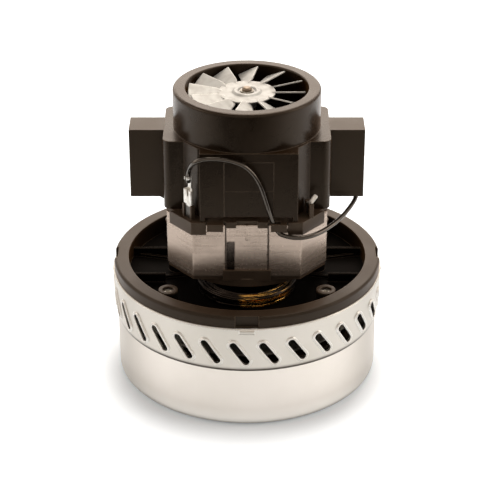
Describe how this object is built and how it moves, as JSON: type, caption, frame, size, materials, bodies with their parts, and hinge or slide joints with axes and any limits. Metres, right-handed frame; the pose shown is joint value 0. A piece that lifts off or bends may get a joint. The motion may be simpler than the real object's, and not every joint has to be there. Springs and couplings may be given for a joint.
{
  "type": "vacuum motor",
  "caption": "Two-stage bypass vacuum motor with a slotted metal turbine shell, laminated stator, moulded brush housing and a cooling fan on top.",
  "frame": {"origin": "centre of the flat inlet face of the lower can, on the rotor's axis", "axes": "+Z along the rotor's axis from the inlet to the cooling fan, -Y towards the jumper lead's side, +X towards the brush cover that the lead enters"},
  "size_m": [0.1468, 0.1468, 0.1636],
  "materials": {
    "can_metal": "drawn steel sheet, satin, warm grey",
    "zinc_steel": "zinc plated steel, bright",
    "bearing_steel": "ground steel",
    "lamination_steel": "stacked electrical sheet, fine lines between the sheets",
    "fan_aluminium": "stamped aluminium sheet, pale and satin",
    "black_plastic": "moulded thermoset, warm black, soft sheen",
    "cover_plastic": "moulded plastic, warm black",
    "insulator_plastic": "moulded plastic, brown black",
    "copper_wire": "enamelled copper wire, golden",
    "copper_bars": "turned copper bars",
    "brass_sheet": "folded brass sheet",
    "tinned_brass": "tinned brass, bright",
    "carbon": "pressed carbon",
    "lead_rubber": "rubber insulated lead, black"
  },
  "bodies": {
    "frame": {"lower_can": "can_metal", "slotted_band": "can_metal", "motor_bracket": "black_plastic", "bracket_screws": "zinc_steel", "turbine_plate": "zinc_steel", "stage_diffuser": "black_plastic", "lower_bearing_outer": "bearing_steel", "upper_bearing_outer": "bearing_steel", "stator_core": "lamination_steel", "lower_insulator": "insulator_plastic", "upper_insulator": "insulator_plastic", "front_field_coil": "copper_wire", "rear_field_coil": "copper_wire", "through_bolts": "zinc_steel", "brush_housing": "black_plastic", "right_brush_cover": "cover_plastic", "left_brush_cover": "cover_plastic", "right_brush_tube": "brass_sheet", "left_brush_tube": "brass_sheet", "right_brush_spring": "bearing_steel", "left_brush_spring": "bearing_steel", "terminal_tabs": "tinned_brass", "lead_connector": "tinned_brass", "jumper_lead": "lead_rubber"},
    "rotor": {"shaft": "bearing_steel", "armature_core": "lamination_steel", "armature_winding": "copper_wire", "commutator": "copper_bars", "cooling_fan": "fan_aluminium", "fan_lock_ring": "zinc_steel", "first_impeller": "fan_aluminium", "second_impeller": "fan_aluminium", "stage_spacer": "zinc_steel", "bearing_spacer": "zinc_steel", "impeller_washer": "zinc_steel", "impeller_nut": "zinc_steel", "lower_bearing_inner": "bearing_steel", "lower_bearing_balls": "bearing_steel", "upper_bearing_inner": "bearing_steel", "upper_bearing_balls": "bearing_steel"},
    "brush_right": {"right_brush": "carbon"},
    "brush_left": {"left_brush": "carbon"}
  },
  "joints": [
    {"name": "rotor_spin", "type": "hinge", "parent": "frame", "child": "rotor", "pos_m": [0, 0, 0], "axis": [0, 0, 1], "continuous": true},
    {"name": "right_brush_slide", "type": "slide", "parent": "frame", "child": "brush_right", "axis": [1, 0, 0], "range_m": [0, 0.008], "stiffness_N_per_m": 60, "springref_m": -0.03, "deforming": ["right_brush_spring"]},
    {"name": "left_brush_slide", "type": "slide", "parent": "frame", "child": "brush_left", "axis": [-1, 0, 0], "range_m": [0, 0.008], "stiffness_N_per_m": 60, "springref_m": -0.03, "deforming": ["left_brush_spring"]}
  ]
}
